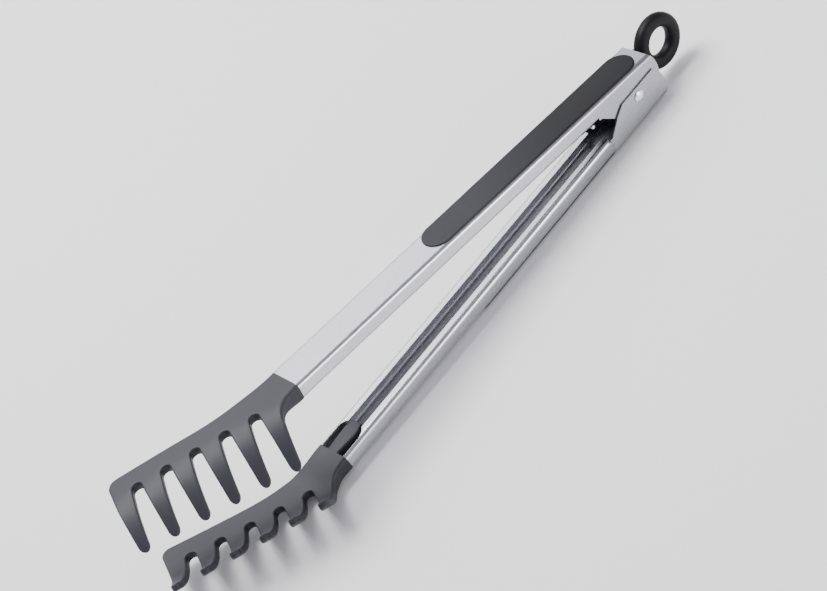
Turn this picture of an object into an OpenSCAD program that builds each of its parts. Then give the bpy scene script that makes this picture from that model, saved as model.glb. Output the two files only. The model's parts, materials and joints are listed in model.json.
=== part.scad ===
// Spring loaded kitchen tongs: two folded steel channel arms riveted together at
// one end, a torsion spring on the rivet, a comb head in each arm's free end, a
// soft grip on each arm's back and a sliding lock with a pull ring.
// The lower arm lies level on its grip. X runs along the arms towards the ring,
// Y runs along the rivet and Z is up.

/* [Arms] */
// Outside width of each arm
arm_w = 19; // [18:0.1:20]
// Thickness of the folded steel sheet
sheet = 0.8; // [0.7:0.05:0.9]
// Outside radius of the folded edges
bend_r = 2.4; // [2:0.1:2.8]
// Distance from the rivet's axis to the outside of each arm's back
back_h = 13.2; // [12.8:0.1:14]
// Depth of the folded channel
channel_h = 8.6; // [8.2:0.1:8.8]
// Length of each arm from the rivet's axis to the head
arm_len = 220; // [200:1:240]
// Width of the gap between the two inturned lips
lip_gap = 9.3; // [8.8:0.1:10]
// Opening angle between the arms
open_deg = 8.3; // [7:0.1:9]

/* [Pivot] */
// Diameter of the rivet's shank
rivet_d = 4; // [3.6:0.1:4.2]
// Diameter of the rivet's domed head
rivet_head_d = 5.8; // [5.4:0.1:6.4]
// Side play between the two pairs of ears
ear_play = 0.15; // [0.1:0.05:0.2]
// Running clearance of the upper ears on the rivet, in radius
ear_run = 0.05; // [0.02:0.01:0.08]

/* [Spring] */
// Diameter of the spring wire
wire_d = 1.3; // [1.1:0.1:1.4]
// Mean radius of the spring's coil
coil_r = 4.2; // [4:0.1:4.4]
// Number of turns in the coil
coil_turns = 5; // [4:1:6]

/* [Grips] */
// Length of each soft grip
grip_len = 140; // [120:1:145]
// Width of each soft grip
grip_w = 16.4; // [15:0.1:16.6]
// How far a grip stands out from the steel
grip_t = 0.9; // [0.6:0.1:1.2]

/* [Heads] */
// Number of teeth on each head
teeth = 6; // [4:1:7]
// Distance between teeth
tooth_pitch = 14.6; // [13:0.1:16]
// Length of each tooth, seen from above
tooth_len = 25.8; // [22:0.1:30]
// Width of a tooth at its root
tooth_root_w = 9.6; // [8.6:0.1:10]
// Width of a tooth at its tip
tooth_tip_w = 4.7; // [4.5:0.1:6]
// Thickness of the head's plate
head_t = 4.4; // [3.8:0.1:4.8]
// Sideways turn of the head, away from the arm's line
head_turn = 27.2; // [22:0.1:30]

/* [Lock] */
// Outside radius of the pull ring
ring_r = 14; // [13:0.1:14.5]
// Radius of the hole in the pull ring
ring_hole_r = 6.9; // [6:0.1:7.5]
// Thickness of the pull ring
ring_t = 6.9; // [6:0.1:7.5]

/* [Hidden] */
$fn = 64;

// The frame's origin is under the middle of the lower grip.
rivet_x = grip_len / 2 - 10;
rivet_z = back_h + grip_t;

// Ears: the flanges rise past the rivet's axis near the pivot.
ear_start = 25;
ear_top = 4.6;
ear_ramp_foot = 23.5;
ear_ramp_mid = [-16, 1.5];
ear_ramp_head = 10.4;
ear_round = 14.8;
ear_round_at = [2, -5];
lip_z = back_h - channel_h;
flare = sheet + ear_play;
joggle_len = 1;
bend_steps = 6;
run_out_len = 10;
run_out_w = 15.2;

// Stack of parts along the rivet, as half widths.
outer_ear_y = arm_w / 2 + flare;
washer_t = 0.5;
washer_gap = 0.1;
washer_y = arm_w / 2 - sheet - washer_gap;
bush_gap = 0.05;
bush_y = washer_y - washer_t - bush_gap;
bush_r = 3;
washer_r = 3.6;
tail_washer_t = 0.6;
dome_h = 1.3;
tail_h = 1;

// Extra that a cut runs past the material.
over = 1;

// Grip studs that fill holes in the arm's back, flush with its inside.
stud_r = 2;
stud_from = -45;
stud_pitch = 25;
stud_x = [for (i = [0:3]) stud_from - stud_pitch * i];

// Comb line: the row of slot ends, and the edge behind it.
first_slot = [-arm_len - 21.5, -1.5];
plate_w = 9.3;
slot_w = 5;
sweep_r = 92;
edge_r = 4.5;
turn_dir = [-cos(head_turn), sin(head_turn)];
turn_out = [sin(head_turn), cos(head_turn)];
tooth_lean = -1.8;
tooth_dir = [-sin(head_turn + tooth_lean), -cos(head_turn + tooth_lean)];
tip_t = 3.2;
curl_power = 2.1;
first_tip_z = 6.1;
tip_rise = 0.72;
plate_cut = 0.7;
tooth_cut = 0.6;
rise_slope = 0.055;
rise_bend = 0.00057;
root_turn = 14;
root_lap = 1;
end_wall = 0.6;

// Plug in the arm's end, and the rib on it, which has a narrow neck and a blunt nose.
plug_gap = 0.1;
plug_len = 14;
rib_neck_half_w = 3.1;
rib_half_w = 4.3;
rib_tip_half_w = 2.4;
rib_nose = 4.6;

// Lock slide, in the upper arm's own frame.
ring_at = [28.4, 8.3];
ring_corner_r = 2.2;
bar_w = 7;
bar_gap = 0.3;
bar_top = back_h - sheet - bar_gap;
bar_t = 3.2;
bar_lap = 2;
runner_w = 15.4;
runner_t = 2.4;
hook_x = [-34.5, -25];
hook_w = 8.4;
hook_foot = 0.4;
hook_cut = 2;
hook_nose = 1.5;
lock_pin_at = [-27.5, 1.6];
lock_pin_r = 1;
lock_pin_len = 13;

// ---- shared shapes ----

// Quarter circle of points round a corner's centre.
function corner(at, r, from) =
    [for (k = [0:bend_steps]) at + r * [cos(from + 90 * k / bend_steps), sin(from + 90 * k / bend_steps)]];

// Rectangle with round corners, centred.
module round_rect(w, h, r) {
    polygon(concat(
        corner([w / 2 - r, h / 2 - r], r, 0),
        corner([r - w / 2, h / 2 - r], r, 90),
        corner([r - w / 2, r - h / 2], r, 180),
        corner([w / 2 - r, r - h / 2], r, 270)));
}

// Carries a Y-Z outline along X from one place to another.
module along_x(from, to) {
    translate([from, 0, 0])
        rotate([90, 0, 90])
            linear_extrude(to - from)
                children();
}

// Carries an X-Z outline along Y, centred.
module along_y(length) {
    rotate([90, 0, 0])
        linear_extrude(length, center = true)
            children();
}

// Round bar along Y, centred.
module bar_y(r, length) {
    rotate([90, 0, 0])
        cylinder(r = r, h = length, center = true);
}

// Shallow dome standing on the plane z = 0.
module dome(d, h) {
    ball_r = (d * d / 4 + h * h) / (2 * h);
    intersection() {
        translate([0, 0, h - ball_r])
            sphere(ball_r, $fn = 96);
        cylinder(r = d / 2 + 1, h = h + 1);
    }
}

// Closed skin over a list of rings that all have the same number of points.
module skin(rings) {
    n = len(rings[0]);
    m = len(rings);
    sides = [for (i = [0:m - 2], j = [0:n - 1])
        [i * n + j, i * n + (j + 1) % n, (i + 1) * n + (j + 1) % n, (i + 1) * n + j]];
    polyhedron(
        points = [for (ring = rings) each ring],
        faces = concat([[for (j = [n - 1:-1:0]) j]], sides, [[for (j = [0:n - 1]) (m - 1) * n + j]]),
        convexity = 6);
}

// Puts a lower side part in place: the rivet's axis goes to its place in the frame.
module lower_side() {
    translate([rivet_x, 0, rivet_z])
        children();
}

// Puts an upper side part in place: mirrored, then opened about the rivet.
module upper_side() {
    translate([rivet_x, 0, rivet_z])
        rotate([0, open_deg, 0])
            children();
}

module flipped() {
    mirror([0, 0, 1])
        children();
}

// ---- arms, drawn with the rivet's axis at the origin and the back downwards ----

// Outline of a closed channel with a slit for the lips.
module channel_outline() {
    translate([0, -back_h + channel_h / 2])
        difference() {
            round_rect(arm_w, channel_h, bend_r);
            round_rect(arm_w - 2 * sheet, channel_h - 2 * sheet, bend_r - sheet);
            translate([0, channel_h / 2])
                square([lip_gap, 4 * sheet], center = true);
        }
}

// Outline with two round corners at the back; its sides run up to a height.
function trough_points(w, back, r, top) = concat(
    [[w / 2, top], [-w / 2, top]],
    corner([r - w / 2, r - back], r, 180),
    corner([w / 2 - r, r - back], r, 270));

// Open trough without lips; its sides run up to a height.
module trough_outline(w, top) {
    difference() {
        polygon(trough_points(w, back_h, bend_r, top));
        polygon(trough_points(w - 2 * sheet, back_h - sheet, bend_r - sheet, top + over));
    }
}

// Side view of the pivot end: a ramp up to the ear, and a round back edge.
module ear_side() {
    intersection() {
        polygon([
            [-ear_start, -back_h - over],
            [-ear_start, -lip_z],
            [-ear_ramp_foot, -lip_z],
            ear_ramp_mid,
            [-ear_ramp_head, ear_top],
            [ear_round_at[0] + ear_round, ear_top],
            [ear_round_at[0] + ear_round, -back_h - over]]);
        union() {
            translate(ear_round_at)
                circle(ear_round, $fn = 128);
            translate([-ear_start - over, -back_h - 2 * over])
                square([ear_start + over + ear_round_at[0], back_h + ear_top + 4 * over]);
        }
    }
}

// Pivot end of an arm: a trough of a given width, cut to the ear's side view.
module ear_end(w, from) {
    intersection() {
        along_x(from, ear_round_at[0] + ear_round)
            trough_outline(w, ear_top + over);
        along_y(2 * arm_w)
            ear_side();
    }
}

// Step in the sheet where the trough widens, so that its ears go outside the others.
module joggle() {
    along_x(-ear_start - joggle_len / 2, -ear_start + joggle_len / 2)
        difference() {
            polygon(trough_points(arm_w + 2 * flare, back_h, bend_r, -lip_z));
            polygon(trough_points(arm_w - 2 * sheet, back_h - sheet, bend_r - sheet, over));
        }
}

// Takes the lips away near the head, with a round end to the cut.
module lip_run_out() {
    translate([-arm_len - over, 0, -lip_z - bend_r / 2])
        linear_extrude(bend_r) {
            translate([0, -run_out_w / 2])
                square([run_out_len, run_out_w]);
            translate([run_out_len, 0])
                circle(run_out_w / 2);
        }
}

module stud_holes() {
    for (x = stud_x)
        translate([x, 0, -back_h - over])
            cylinder(r = stud_r, h = sheet + 2 * over);
}

module arm_channel() {
    difference() {
        along_x(-arm_len, -ear_start)
            channel_outline();
        lip_run_out();
        stud_holes();
    }
}

module lower_arm() {
    color("silver")
        lower_side()
            difference() {
                union() {
                    arm_channel();
                    joggle();
                    ear_end(arm_w + 2 * flare, -ear_start);
                }
                bar_y(rivet_d / 2, 3 * arm_w);
            }
}

module upper_arm() {
    color("silver")
        upper_side()
            flipped()
                difference() {
                    union() {
                        arm_channel();
                        ear_end(arm_w, -ear_start);
                    }
                    bar_y(rivet_d / 2 + ear_run, 3 * arm_w);
                }
}

// ---- grips ----

module stadium(length, w) {
    square([length - w, w], center = true);
    for (x = [-1, 1])
        translate([x * (length - w) / 2, 0])
            circle(w / 2);
}

module grip() {
    translate([-rivet_x, 0, -back_h - grip_t])
        linear_extrude(grip_t)
            stadium(grip_len, grip_w);
    for (x = stud_x)
        translate([x, 0, -back_h])
            cylinder(r = stud_r, h = sheet);
}

module lower_grip() {
    color("dimgray")
        lower_side()
            grip();
}

module upper_grip() {
    color("dimgray")
        upper_side()
            flipped()
                grip();
}

// ---- comb heads ----

// Height that the head's plate gains towards the other arm, at a distance from the arm.
function plate_rise(x) = let (s = max(0, -x - arm_len)) rise_slope * s + rise_bend * s * s;

// Smooth step from 0 to 1.
function ease(t) = let (u = min(1, max(0, t))) u * u * (3 - 2 * u);

// Flat position with a height: the outer face lies at the plate's rise.
function on_plate(p, up) = [p[0], p[1], -back_h + plate_rise(p[0]) + up];

// Ring across the plate from its back edge to its front edge, with cut corners.
function plate_ring(edge, dir, w, t, cut_out, cut_in) = [
    on_plate(edge + cut_out * dir, 0),
    on_plate(edge, cut_out),
    on_plate(edge, t - cut_in),
    on_plate(edge + cut_in * dir, t),
    on_plate(edge + (w - cut_in) * dir, t),
    on_plate(edge + w * dir, t - cut_in),
    on_plate(edge + w * dir, cut_out),
    on_plate(edge + (w - cut_out) * dir, 0)];

// The back edge leaves the arm along an arc.
function arc_edge(a) = [-arm_len - sweep_r * sin(a), arm_w / 2 + sweep_r * (1 - cos(a))];
function arc_dir(a) = [-sin(a), -cos(a)];

// Width of the plate at an angle on the arc: up to the slots' round ends.
function arc_width(a) = min(arm_w,
    ((arc_edge(a) - first_slot) * turn_out + slot_w / 2) / cos(head_turn - a));

arc_steps = concat([for (a = [0:2:root_turn]) a], [17, 20, 23.5, head_turn]);

function arc_ring(a) =
    let (f = ease(a / root_turn))
        plate_ring(arc_edge(a), arc_dir(a), arc_width(a), channel_h + (head_t - channel_h) * f,
            bend_r + (plate_cut - bend_r) * f, plate_cut);

// Straight part of the plate, and the round corner at its far end.
straight_from = arc_edge(head_turn);
far_end = (first_slot - straight_from) * turn_dir + (teeth - 1) * tooth_pitch + tooth_root_w / 2
    - tooth_pitch / 2 + end_wall;

function corner_cut(d) = d >= edge_r ? 0 : edge_r - sqrt(edge_r * edge_r - pow(edge_r - d, 2));

straight_steps = concat(
    [-root_lap / 2, far_end / 3, far_end * 2 / 3],
    [for (part = [1, 0.67, 0.36, 0.13, 0]) far_end - edge_r * part]);

function straight_ring(d) =
    let (cut = corner_cut(far_end - d), w = plate_w + slot_w / 2)
        plate_ring(straight_from + d * turn_dir - cut * turn_out, -turn_out, w - cut, head_t,
            plate_cut, plate_cut);

// Tooth: its path runs sideways and forwards, and curls towards the other head.
function tooth_root(i) = first_slot + (i - 0.5) * tooth_pitch * turn_dir;
function tooth_root_z(i) = -back_h + plate_rise(tooth_root(i)[0]) + head_t / 2;
function tooth_curl(i) = first_tip_z + tip_rise * i - tooth_root_z(i);

function tooth_at(i, u) =
    let (p = tooth_root(i) + u * tooth_len * tooth_dir)
        [p[0], p[1], tooth_root_z(i) + tooth_curl(i) * pow(max(0, u), curl_power)];

function tooth_slope(i, u) = atan(tooth_curl(i) * curl_power * pow(max(0, u), curl_power - 1) / tooth_len);

// Half width of a tooth: a straight taper, then a round tip.
function tooth_half_w(u) =
    let (w = (tooth_root_w + (tooth_tip_w - tooth_root_w) * max(0, u)) / 2, r = tooth_tip_w / 2 / tooth_len,
         v = max(0, (u - 1 + r) / r))
        w * sqrt(max(0.02, 1 - v * v));

function tooth_ring(i, u) =
    let (p = tooth_at(i, u), a = tooth_slope(i, u), w = tooth_half_w(u),
         t = (head_t + (tip_t - head_t) * max(0, u)) / 2,
         side = [-tooth_dir[1], tooth_dir[0], 0],
         up = [-sin(a) * tooth_dir[0], -sin(a) * tooth_dir[1], cos(a)],
         cut = min(tooth_cut, w / 2))
        [for (c = [[-w + cut, -t], [-w, -t + cut], [-w, t - cut], [-w + cut, t],
                   [w - cut, t], [w, t - cut], [w, -t + cut], [w - cut, -t]])
            p + c[0] * side + c[1] * up];

tooth_steps = [-0.2, 0.12, 0.3, 0.45, 0.6, 0.72, 0.82, 0.9, 0.94, 0.975, 1];

// Round-ended cut between two teeth.
module slot_cut(i) {
    at = first_slot + i * tooth_pitch * turn_dir;
    translate([at[0], at[1], -back_h - over])
        rotate(-head_turn)
            translate([0, -slot_w / 2])
                linear_extrude(2 * back_h) {
                    circle(slot_w / 2);
                    translate([-slot_w / 2, -slot_w])
                        square([slot_w, slot_w]);
                }
}

// Plug that fills the channel's end, with a rib in the lip gap.
module head_plug() {
    along_x(-arm_len - root_lap, -arm_len + plug_len)
        translate([0, -back_h + channel_h / 2])
            round_rect(arm_w - 2 * sheet - 2 * plug_gap, channel_h - 2 * sheet - 2 * plug_gap,
                bend_r - sheet);
    translate([-arm_len, 0, -back_h + sheet + plug_gap])
        linear_extrude(channel_h - sheet - plug_gap)
            polygon([
                [-root_lap, -rib_neck_half_w],
                [plug_len - root_lap, -rib_half_w],
                [plug_len + rib_nose - root_lap, -rib_tip_half_w],
                [plug_len + rib_nose - root_lap, rib_tip_half_w],
                [plug_len - root_lap, rib_half_w],
                [-root_lap, rib_neck_half_w]]);
}

module comb_head() {
    difference() {
        skin([for (a = arc_steps) arc_ring(a)]);
        for (i = [0:1])
            slot_cut(i);
    }
    difference() {
        skin([for (d = straight_steps) straight_ring(d)]);
        for (i = [2:teeth - 2])
            slot_cut(i);
    }
    for (i = [0:teeth - 1])
        skin([for (u = tooth_steps) tooth_ring(i, u)]);
    head_plug();
}

module lower_head() {
    color([0.33, 0.33, 0.37])
        lower_side()
            comb_head();
}

module upper_head() {
    color([0.33, 0.33, 0.37])
        upper_side()
            flipped()
                comb_head();
}

// ---- pivot ----

module pivot_rivet() {
    color("lightgray")
        lower_side() {
            translate([0, tail_washer_t / 2, 0])
                bar_y(rivet_d / 2, 2 * outer_ear_y + tail_washer_t);
            translate([0, -outer_ear_y, 0])
                rotate([90, 0, 0])
                    dome(rivet_head_d, dome_h);
            translate([0, outer_ear_y + tail_washer_t, 0])
                rotate([-90, 0, 0])
                    dome(rivet_head_d, tail_h);
        }
}

module ring_y(r_out, r_in, from, to) {
    translate([0, (from + to) / 2, 0])
        difference() {
            bar_y(r_out, to - from);
            bar_y(r_in, to - from + over);
        }
}

module rivet_washer() {
    color("lightgray")
        lower_side()
            ring_y(washer_r, rivet_d / 2, outer_ear_y, outer_ear_y + tail_washer_t);
}

module pivot_bush() {
    color("white")
        lower_side()
            ring_y(bush_r, rivet_d / 2, -bush_y, bush_y);
}

module ear_washers() {
    color("white")
        lower_side()
            for (y = [-washer_y, washer_y - washer_t])
                ring_y(washer_r, rivet_d / 2, y, y + washer_t);
}

// ---- torsion spring ----

coil_gap = 0.25;
coil_step = wire_d + coil_gap;
coil_half = coil_turns * coil_step / 2;
coil_end = coil_half + coil_step / 2;
coil_parts = 16;
leg_gap = 0.15;
leg_z = back_h - sheet - wire_d / 2 - leg_gap;

// A leg's points, from the coil out to its tip: distance ahead of the rivet, and height.
leg_points = [[1.6, coil_r + 0.35], [5, coil_r + 2.4], [9, leg_z - 1.2], [14, leg_z]];
leg_last = len(leg_points) - 1;

// The coil starts on its lower side and ends on its upper side.
function coil_at(turn) =
    let (a = 360 * turn - 90)
        [coil_r * cos(a), -coil_half + turn * coil_step, coil_r * sin(a)];

spring_path = concat(
    [for (k = [leg_last:-1:0]) [-leg_points[k][0], -coil_half, -leg_points[k][1]]],
    [for (k = [1:(coil_turns + 0.5) * coil_parts - 1]) coil_at(k / coil_parts)],
    [for (p = leg_points) [-p[0], coil_end, p[1]]]);

function unit(v) = v / norm(v);

function wire_ring(k) =
    let (last = len(spring_path) - 1,
         dir = unit(spring_path[min(last, k + 1)] - spring_path[max(0, k - 1)]),
         side = unit(cross(dir, [0, 1, 0.001])),
         up = cross(side, dir))
        [for (a = [0:45:315]) spring_path[k] + wire_d / 2 * (cos(a) * side + sin(a) * up)];

module torsion_spring() {
    color("gainsboro")
        lower_side()
            skin([for (k = [0:len(spring_path) - 1]) wire_ring(k)]);
}

// ---- sliding lock, in the upper arm's own frame with the back upwards ----

module ring_outline() {
    translate([(ring_r + ring_hole_r) / 2, 0])
        round_rect(ring_r - ring_hole_r, ring_t, ring_corner_r);
}

module lock_slide() {
    color([0.12, 0.12, 0.13])
        upper_side()
            difference() {
                union() {
                    translate([ring_at[0], 0, ring_at[1]])
                        rotate([90, 0, 0])
                            rotate_extrude($fn = 96)
                                ring_outline();
                    translate([hook_x[0], -bar_w / 2, bar_top - bar_t])
                        cube([ring_at[0] - ring_r + bar_lap - hook_x[0], bar_w, bar_t]);
                    translate([hook_x[0], -runner_w / 2, bar_top - runner_t])
                        cube([hook_x[1] - hook_x[0], runner_w, runner_t]);
                    along_y(hook_w)
                        polygon([
                            [hook_x[0], bar_top - runner_t / 2],
                            [hook_x[0], hook_foot + hook_cut],
                            [hook_x[0] + hook_cut, hook_foot],
                            [hook_x[1] - hook_nose, hook_foot],
                            [hook_x[1], hook_foot + hook_cut],
                            [hook_x[1], bar_top - runner_t / 2]]);
                }
                translate([lock_pin_at[0], 0, lock_pin_at[1]])
                    bar_y(lock_pin_r, 2 * arm_w);
            }
}

module lock_pin() {
    color("lightgray")
        upper_side()
            translate([lock_pin_at[0], 0, lock_pin_at[1]])
                bar_y(lock_pin_r, lock_pin_len);
}

lower_arm();
upper_arm();
lower_grip();
upper_grip();
lower_head();
upper_head();
pivot_rivet();
rivet_washer();
pivot_bush();
ear_washers();
torsion_spring();
lock_slide();
lock_pin();
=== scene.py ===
"""Spring loaded kitchen tongs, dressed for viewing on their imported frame.

Every piece is a numpy surface, drawn in millimetres with the rivet's axis at the origin, the arm
running towards -X and its back downwards. Hinge.place() carries it to metres in the frame.
"""

import json
import logging
import math
from dataclasses import dataclass, field
from enum import Enum

import bmesh
import bpy
import numpy as np
from mathutils import Matrix, Vector
from mathutils.geometry import delaunay_2d_cdt


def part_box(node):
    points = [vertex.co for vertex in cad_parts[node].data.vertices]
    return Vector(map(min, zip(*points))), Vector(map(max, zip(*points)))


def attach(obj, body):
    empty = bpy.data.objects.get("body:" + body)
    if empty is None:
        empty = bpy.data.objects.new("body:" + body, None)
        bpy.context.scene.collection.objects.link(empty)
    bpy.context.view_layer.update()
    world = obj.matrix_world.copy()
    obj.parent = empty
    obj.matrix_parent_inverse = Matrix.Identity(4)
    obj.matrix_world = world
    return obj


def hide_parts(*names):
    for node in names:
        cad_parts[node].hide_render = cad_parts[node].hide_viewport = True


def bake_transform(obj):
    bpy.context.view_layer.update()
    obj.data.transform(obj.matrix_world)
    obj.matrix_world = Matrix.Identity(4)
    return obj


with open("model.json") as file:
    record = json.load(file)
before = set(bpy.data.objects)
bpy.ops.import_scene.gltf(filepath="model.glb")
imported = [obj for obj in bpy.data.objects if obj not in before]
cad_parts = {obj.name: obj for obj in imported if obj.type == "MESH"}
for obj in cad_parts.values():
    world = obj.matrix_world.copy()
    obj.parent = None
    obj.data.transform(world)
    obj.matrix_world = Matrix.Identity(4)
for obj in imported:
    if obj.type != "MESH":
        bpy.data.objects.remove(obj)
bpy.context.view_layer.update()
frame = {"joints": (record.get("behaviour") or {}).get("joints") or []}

Array = np.ndarray
Object = bpy.types.Object
Socket = bpy.types.NodeSocket
Tree = bpy.types.NodeTree
Pair = tuple[float, float]
Triple = tuple[float, float, float]

MM = 0.001
WELD = 2e-6  # points nearer than this become one, in metres
LEAST_CORNER = 0.05  # share of a block's edge radius left at its drawn-in ends
LEAST_STEP = 0.02  # outline points nearer than this are left out, in mm
GRAIN_SPAN = (0.3, 0.7)  # noise values between which the grain takes effect
EDGE_SPAN = (0.5, 0.62)  # pointiness, from a flat face to an edge with painted highlight
LOG = logging.getLogger("tongs")


class Side(Enum):
    """Which of the two halves a piece belongs to."""

    LOWER = "lower"
    UPPER = "upper"

    @property
    def body(self) -> str:
        """Name of the moving body of this half."""
        return f"{self.value}_side"


# ---- shapes ----


def ease(t: Array | float) -> Array:
    """Smooth step: three t squared less two t cubed, with t held between 0 and 1."""
    u = np.clip(t, 0.0, 1.0)
    return u * u * (3.0 - 2.0 * u)


def mix(a: Array | float, b: Array | float, t: Array | float) -> Array:
    """Straight blend from a to b."""
    return a + (b - a) * t


def stacked(*axes: Array | float) -> Array:
    """Coordinates, broadcast against each other, as points along a last axis."""
    return np.stack(np.broadcast_arrays(*axes), -1)


def quarter_turn(steps: int) -> Array:
    """Angles of a quarter turn in equal steps."""
    return np.linspace(0.0, math.pi / 2, steps + 1)


def full_turn(steps: int) -> Array:
    """Angles of a full turn in equal steps, without the last, which is the first again."""
    return np.linspace(0.0, 2 * math.pi, steps, endpoint=False)


def joined(*parts: Array) -> Array:
    """Runs of stations end to end, each next run without its repeated first value."""
    return np.concatenate([parts[0], *[part[1:] for part in parts[1:]]])


def stations(ends: list[float], counts: list[int]) -> Array:
    """Runs of evenly spaced stations from each end to the next, as a column."""
    return joined(*[np.linspace(a, b, n) for a, b, n in zip(ends, ends[1:], counts)])[:, None]


def arc(centre: Array, radius: float, start: float, stop: float, count: int) -> Array:
    """Points on a circle from one angle to another, in radians: centre plus radius times (cos, sin)."""
    angle = np.linspace(start, stop, count)
    return centre + radius * np.stack([np.cos(angle), np.sin(angle)], -1)


def line(a: Array, b: Array, spacing: float) -> Array:
    """Evenly spaced points on a straight line, no further apart than the spacing."""
    count = max(2, int(math.ceil(np.linalg.norm(b - a) / spacing)) + 1)
    return mix(a, b, np.linspace(0.0, 1.0, count)[:, None])


def round_rect(half_w: Array, half_h: Array, radius: Array, steps: int) -> Array:
    """Closed outlines of rectangles with round corners, one for each row.

    Each corner is a quarter circle: the corner's centre plus radius times (cos, sin), with the
    angle going round by a quarter turn for each corner.

    Args:
        half_w: Half widths, one for each row.
        half_h: Half heights, one for each row.
        radius: Corner radii, one for each row.
        steps: Steps in each quarter circle.

    Returns:
        Array (rows, 4 * (steps + 1), 2).
    """
    angle = quarter_turn(steps)[None, :] + (np.arange(4) * math.pi / 2)[:, None]
    sign_w = np.array([1.0, -1.0, -1.0, 1.0])[:, None]
    sign_h = np.array([1.0, 1.0, -1.0, -1.0])[:, None]
    w, h, r = (np.asarray(a, float).reshape(-1, 1, 1) for a in (half_w, half_h, radius))
    across = (w - r) * sign_w + r * np.cos(angle)
    tall = (h - r) * sign_h + r * np.sin(angle)
    return np.stack([across, tall], -1).reshape(w.shape[0], -1, 2)


@dataclass
class Shell:
    """A mesh under way: grids of points and loose triangles, in millimetres."""

    points: list[Array] = field(default_factory=list)
    faces: list[list[int]] = field(default_factory=list)
    count: int = 0

    def add_grid(self, grid: Array, wrap_rows: bool = False, wrap_columns: bool = False) -> "Shell":
        """Adds a grid of points as quads.

        Args:
            grid: Points, (rows, columns, 3).
            wrap_rows: Whether the last row joins the first.
            wrap_columns: Whether the last column joins the first.

        Returns:
            The shell itself.
        """
        rows, columns = grid.shape[:2]
        row, column = np.meshgrid(np.arange(rows if wrap_rows else rows - 1),
                                  np.arange(columns if wrap_columns else columns - 1), indexing="ij")
        here, below = row * columns, (row + 1) % rows * columns
        right = (column + 1) % columns
        quads = np.stack([here + column, here + right, below + right, below + column], -1)
        return self.add_faces(grid.reshape(-1, 3), quads.reshape(-1, 4))

    def add_faces(self, points: Array, faces: Array | list[list[int]]) -> "Shell":
        """Adds points and faces.

        Args:
            points: Points, (n, 3).
            faces: Places in the points, as many for each face.

        Returns:
            The shell itself.
        """
        self.points.append(np.asarray(points, float))
        self.faces.extend((np.asarray(faces) + self.count).tolist())
        self.count += len(points)
        return self

    def add_tube(self, rows: Array) -> "Shell":
        """Adds closed rings as a tube, each end drawn in to its middle point, and returns the shell."""
        first, last = (np.broadcast_to(ring.mean(0), ring.shape)[None] for ring in (rows[0], rows[-1]))
        return self.add_grid(np.concatenate([first, rows, last]), wrap_columns=True)

    def add_lathe(self, profile: Array, at: Pair = (0.0, 0.0), steps: int = 64,
                  closed: bool = True) -> "Shell":
        """Turns a profile about an axis along Y.

        A profile point (r, y) goes round the circle (x + r cos a, y, z + r sin a).

        Args:
            profile: Points (radius, place along Y).
            at: The axis's place, (x, z).
            steps: Steps round the circle.
            closed: Whether the profile is a closed loop, as for a ring.

        Returns:
            The shell itself.
        """
        angle = full_turn(steps)[None, :]
        radius, along = profile[:, :1], profile[:, 1:]
        grid = stacked(at[0] + radius * np.cos(angle), along, at[1] + radius * np.sin(angle))
        return self.add_grid(grid, wrap_rows=closed, wrap_columns=True)

    def add_block(self, stations: Array, half_w: Array, low: Array, high: Array,
                  radius: float, steps: int = 5) -> "Shell":
        """Adds a block along X whose cross sections are rectangles with round corners.

        Args:
            stations: Places along X, one for each section.
            half_w: Half width along Y at each station.
            low: Lowest height at each station.
            high: Highest height at each station.
            radius: Radius of the long edges and, by two drawn-in sections, of the ends.
            steps: Steps in each quarter circle.

        Returns:
            The shell itself.
        """
        stations, half_w, low, high = np.broadcast_arrays(
            *[np.asarray(a, float) for a in (stations, half_w, low, high)])
        turn = quarter_turn(steps)
        inset = radius * (1.0 - np.sin(turn))
        lead = radius * (1.0 - np.cos(turn))
        x = np.concatenate([stations[0] + lead, stations[1:-1], stations[-1] - lead[::-1]])
        pull = np.concatenate([inset, np.zeros(len(stations) - 2), inset[::-1]])
        w, lo, hi = (np.interp(x, stations, a) for a in (half_w, low, high))
        corner = np.maximum(radius - pull, LEAST_CORNER * radius)
        section = round_rect(w - pull, (hi - lo) / 2 - pull, corner, steps)
        return self.add_tube(stacked(x[:, None], section[..., 0], section[..., 1] + ((hi + lo) / 2)[:, None]))


@dataclass(frozen=True)
class Hinge:
    """Where the rivet's axis lies and how the arms stand on it, read from the frame, in mm."""

    pin: Triple
    opening: float
    arm_w: float
    ear_half_w: float
    back_h: float
    arm_len: float

    @classmethod
    def read(cls) -> "Hinge":
        """Works the hinge's facts out from the frame's joints and boxes.

        Returns:
            The hinge.
        """
        joints = {joint["name"]: joint for joint in frame["joints"]}
        pin = [value / MM for value in joints["arm_hinge"]["pos_m"]]
        low, high = (np.array(corner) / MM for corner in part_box("lower_arm"))
        upper_low, upper_high = (np.array(corner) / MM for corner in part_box("upper_arm"))
        return cls(
            pin=tuple(pin),
            opening=-math.asin(joints["lock_pull"]["axis"][2]),
            arm_w=upper_high[1] - upper_low[1],
            ear_half_w=high[1],
            back_h=pin[2] - low[2],
            arm_len=pin[0] - low[0],
        )

    def place(self, points: Array, side: Side) -> Array:
        """Carries points from the drawing position to metres in the frame.

        The upper half is mirrored in Z and turned about the rivet by the opening angle:
        x' = x cos a + z sin a and z' = z cos a - x sin a.

        Args:
            points: Points, (n, 3), in millimetres.
            side: The half that they belong to.

        Returns:
            Points, (n, 3), in metres.
        """
        moved = np.array(points, float)
        if side is Side.UPPER:
            c, s = math.cos(self.opening), math.sin(self.opening)
            x, z = moved[:, 0].copy(), -moved[:, 2]
            moved[:, 0] = x * c + z * s
            moved[:, 2] = z * c - x * s
        return (moved + np.array(self.pin)) * MM


# ---- finishes ----


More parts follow.
